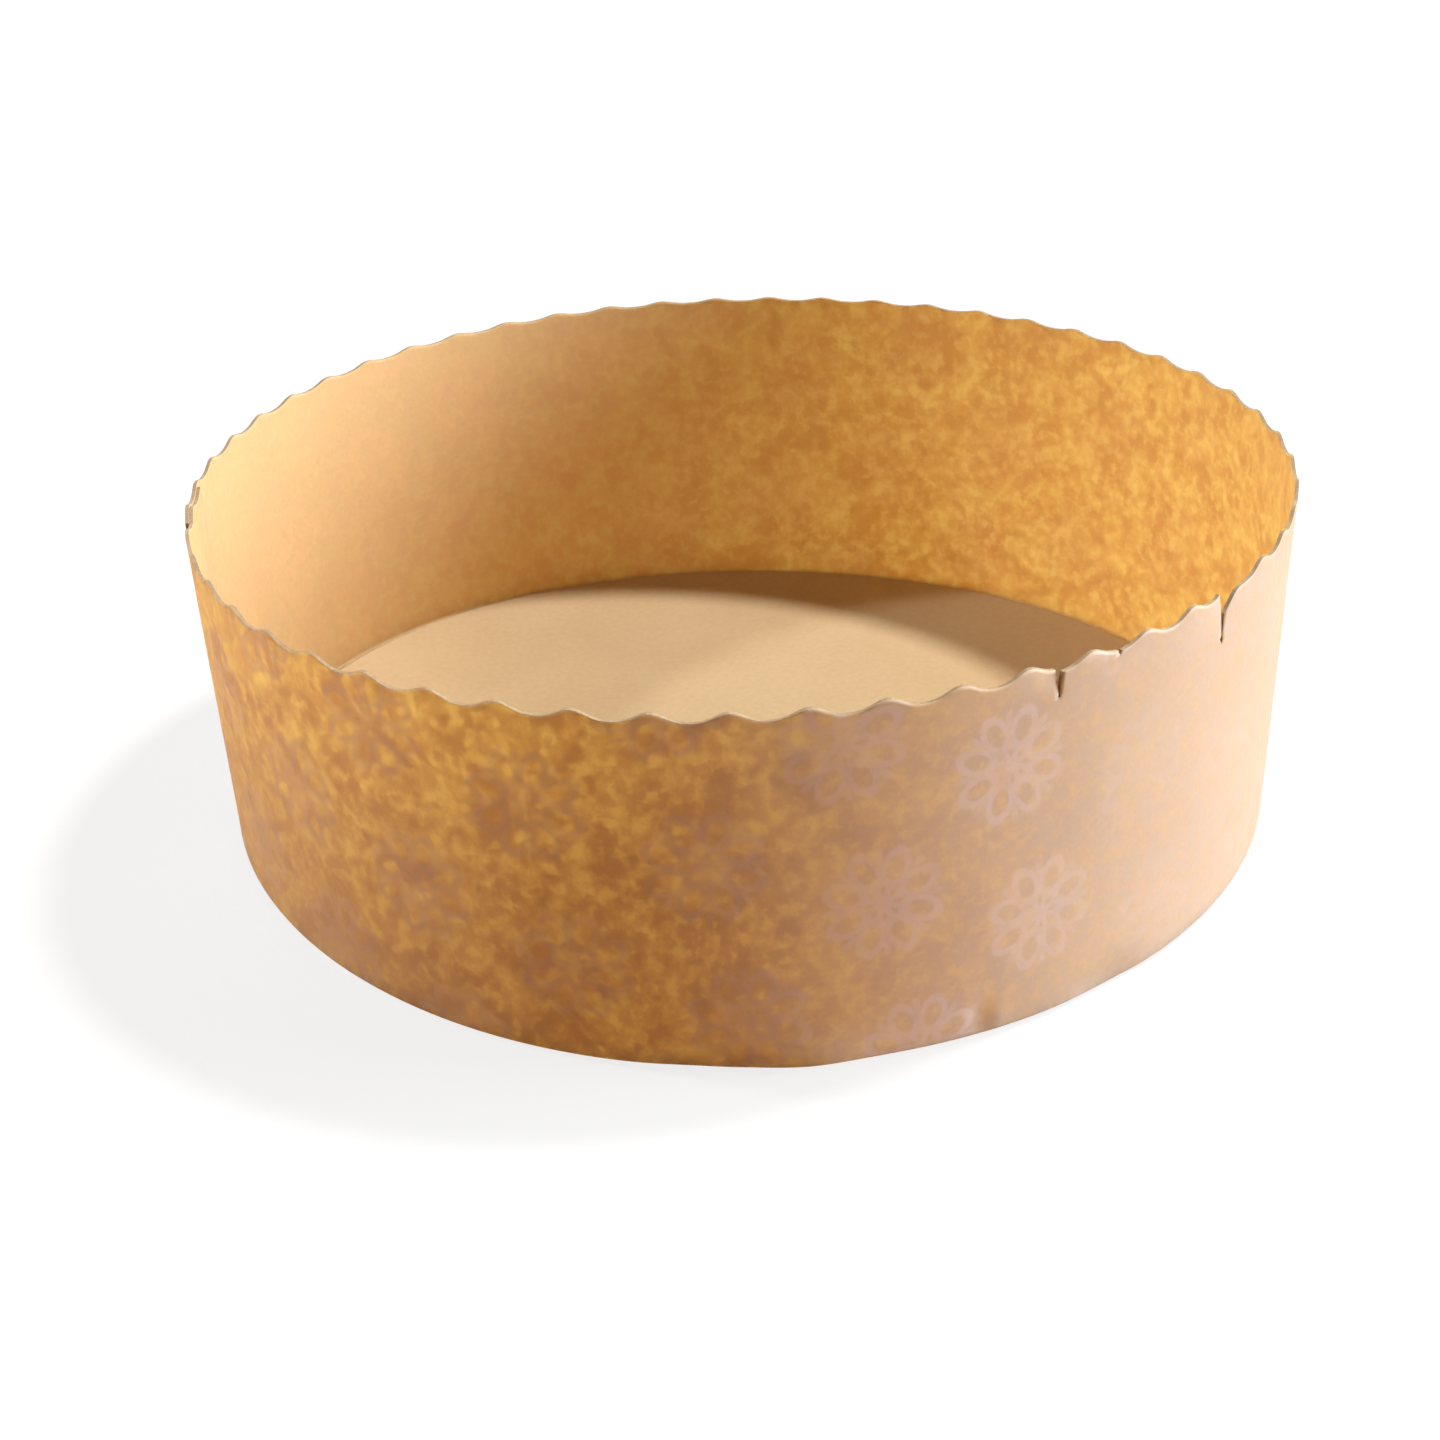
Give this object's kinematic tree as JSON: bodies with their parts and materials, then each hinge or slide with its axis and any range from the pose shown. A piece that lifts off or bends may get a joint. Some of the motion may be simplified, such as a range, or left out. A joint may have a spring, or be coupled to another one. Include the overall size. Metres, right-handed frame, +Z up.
{
  "type": "paper baking mould",
  "caption": "Round open paper baking mould with a flat glued floor, a slightly flared thin wall and a wavy top edge with small tears.",
  "frame": {"origin": "centre of the face the mould stands on", "axes": "+Z up out of the mould along its axis, -Y towards the front as pictured, so the long tear is to the right of it"},
  "size_m": [0.1572, 0.1572, 0.0499],
  "materials": {
    "wall_paper": "thin brown greaseproof paper, softly printed, faint sheen",
    "floor_paper": "matte brown paper"
  },
  "bodies": {
    "root": {"side_wall": "wall_paper", "base_disc": "floor_paper"}
  },
  "joints": []
}
